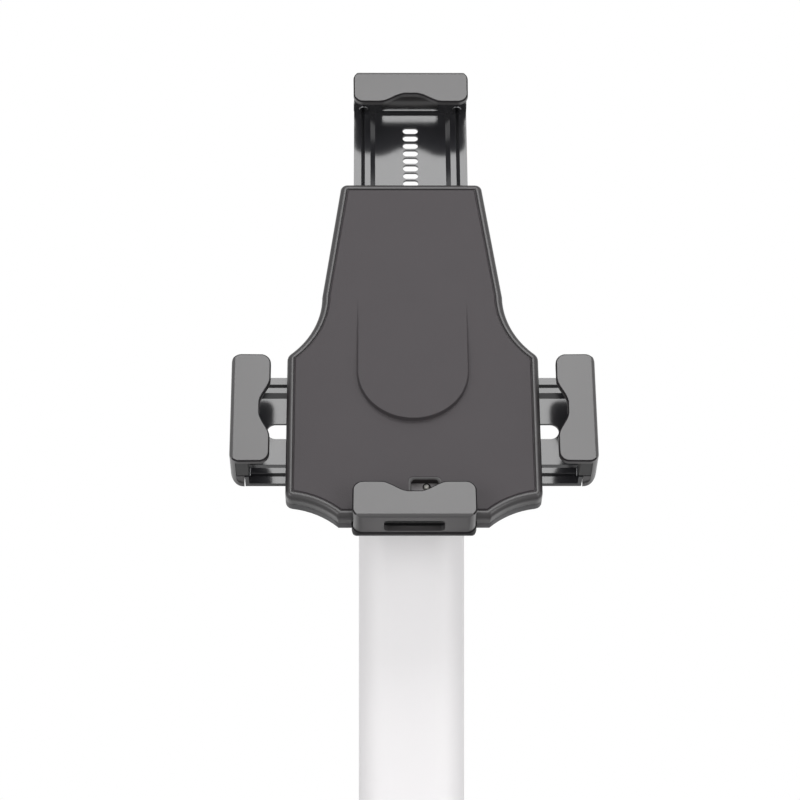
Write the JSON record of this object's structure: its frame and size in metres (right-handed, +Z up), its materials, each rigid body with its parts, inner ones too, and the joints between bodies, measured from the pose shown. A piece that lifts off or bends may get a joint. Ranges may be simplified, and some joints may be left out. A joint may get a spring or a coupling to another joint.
{
  "type": "tablet desk stand",
  "caption": "Desk stand that grips a tablet by its edges in sliding jaws, on a tilting and turning head over an oval pole and a flat weighted base.",
  "frame": {"origin": "centre of the underside of the base mat", "axes": "+Z up from the desk, -Y towards the person who looks at the tablet, +X to that person's right"},
  "size_m": [0.1888, 0.22, 0.4473],
  "materials": {
    "mat_rubber": "matt",
    "base_steel": "satin powder coat",
    "screw_steel": "satin",
    "pole_aluminium": "satin",
    "black_plastic": "fine grain",
    "face_plastic": "fine grain",
    "friction_nylon": "smooth",
    "lock_chrome": "polished",
    "arm_plastic": "gloss",
    "jaw_plastic": "satin",
    "pad_rubber": "matt"
  },
  "bodies": {
    "stand": {"base_mat": "mat_rubber", "base_plate": "base_steel", "pole_screws": "screw_steel", "pole_collar": "black_plastic", "pole": "pole_aluminium", "pole_cap": "black_plastic", "cap_screws": "screw_steel", "hinge_bolt": "screw_steel", "hinge_nut": "screw_steel", "hinge_washers": "friction_nylon"},
    "tilter": {"knuckle": "black_plastic", "hinge_covers": "black_plastic", "swivel_axle": "screw_steel", "axle_washer": "screw_steel", "axle_nut": "screw_steel", "friction_ring": "friction_nylon"},
    "holder": {"swivel_disc": "screw_steel", "disc_screws": "screw_steel", "rear_shell": "black_plastic", "front_shell": "face_plastic", "shell_screws": "screw_steel", "stop_pin": "screw_steel", "bottom_jaw": "jaw_plastic", "bottom_pads": "pad_rubber", "bottom_jaw_screws": "screw_steel", "lock_barrel": "lock_chrome", "pinion_clip": "screw_steel"},
    "top_slide": {"top_arm": "arm_plastic", "top_jaw": "jaw_plastic", "top_pads": "pad_rubber", "top_jaw_screws": "screw_steel"},
    "left_slide": {"left_arm": "arm_plastic", "left_jaw": "jaw_plastic", "left_pads": "pad_rubber", "left_jaw_screws": "screw_steel"},
    "right_slide": {"right_arm": "arm_plastic", "right_jaw": "jaw_plastic", "right_pads": "pad_rubber", "right_jaw_screws": "screw_steel"},
    "pinion_gear": {"pinion": "friction_nylon"},
    "lock_push": {"lock_plunger": "lock_chrome"},
    "lock_key": {"lock_plug": "lock_chrome"}
  },
  "joints": [
    {"name": "tilt", "type": "hinge", "parent": "stand", "child": "tilter", "pos_m": [0, 0.04, 0.254], "axis": [-1, 0, 0], "range_deg": [-29, 61]},
    {"name": "turn", "type": "hinge", "parent": "tilter", "child": "holder", "pos_m": [0, -0.00723, 0.28018], "axis": [0, -0.8746, 0.4848], "continuous": true},
    {"name": "top_arm_slide", "type": "slide", "parent": "holder", "child": "top_slide", "axis": [0, 0.4848, 0.8746], "range_m": [-0.05, 0.005]},
    {"name": "right_arm_slide", "type": "slide", "parent": "holder", "child": "right_slide", "axis": [1, 0, 0], "range_m": [-0.0176, 0.0045]},
    {"name": "left_arm_slide", "type": "slide", "parent": "holder", "child": "left_slide", "axis": [-1, 0, 0], "range_m": [-0.0176, 0.0045]},
    {"name": "pinion_turn", "type": "hinge", "parent": "holder", "child": "pinion_gear", "pos_m": [0, -0.01084, 0.25097], "axis": [0, -0.8746, 0.4848], "range_deg": [-113, 29]},
    {"name": "lock_push_in", "type": "slide", "parent": "holder", "child": "lock_push", "axis": [0, -0.8746, 0.4848], "range_m": [0, 0.0036], "stiffness_N_per_m": 250, "springref_m": -0.006},
    {"name": "key_turn", "type": "hinge", "parent": "lock_push", "child": "lock_key", "pos_m": [0, 0.06671, 0.3517], "axis": [0, -0.8746, 0.4848], "range_deg": [0, 90]}
  ],
  "couplings": [
    {"joint": "left_arm_slide", "follows": "right_arm_slide", "ratio": 1},
    {"joint": "pinion_turn", "follows": "right_arm_slide", "rad_per_m": 111.11}
  ]
}
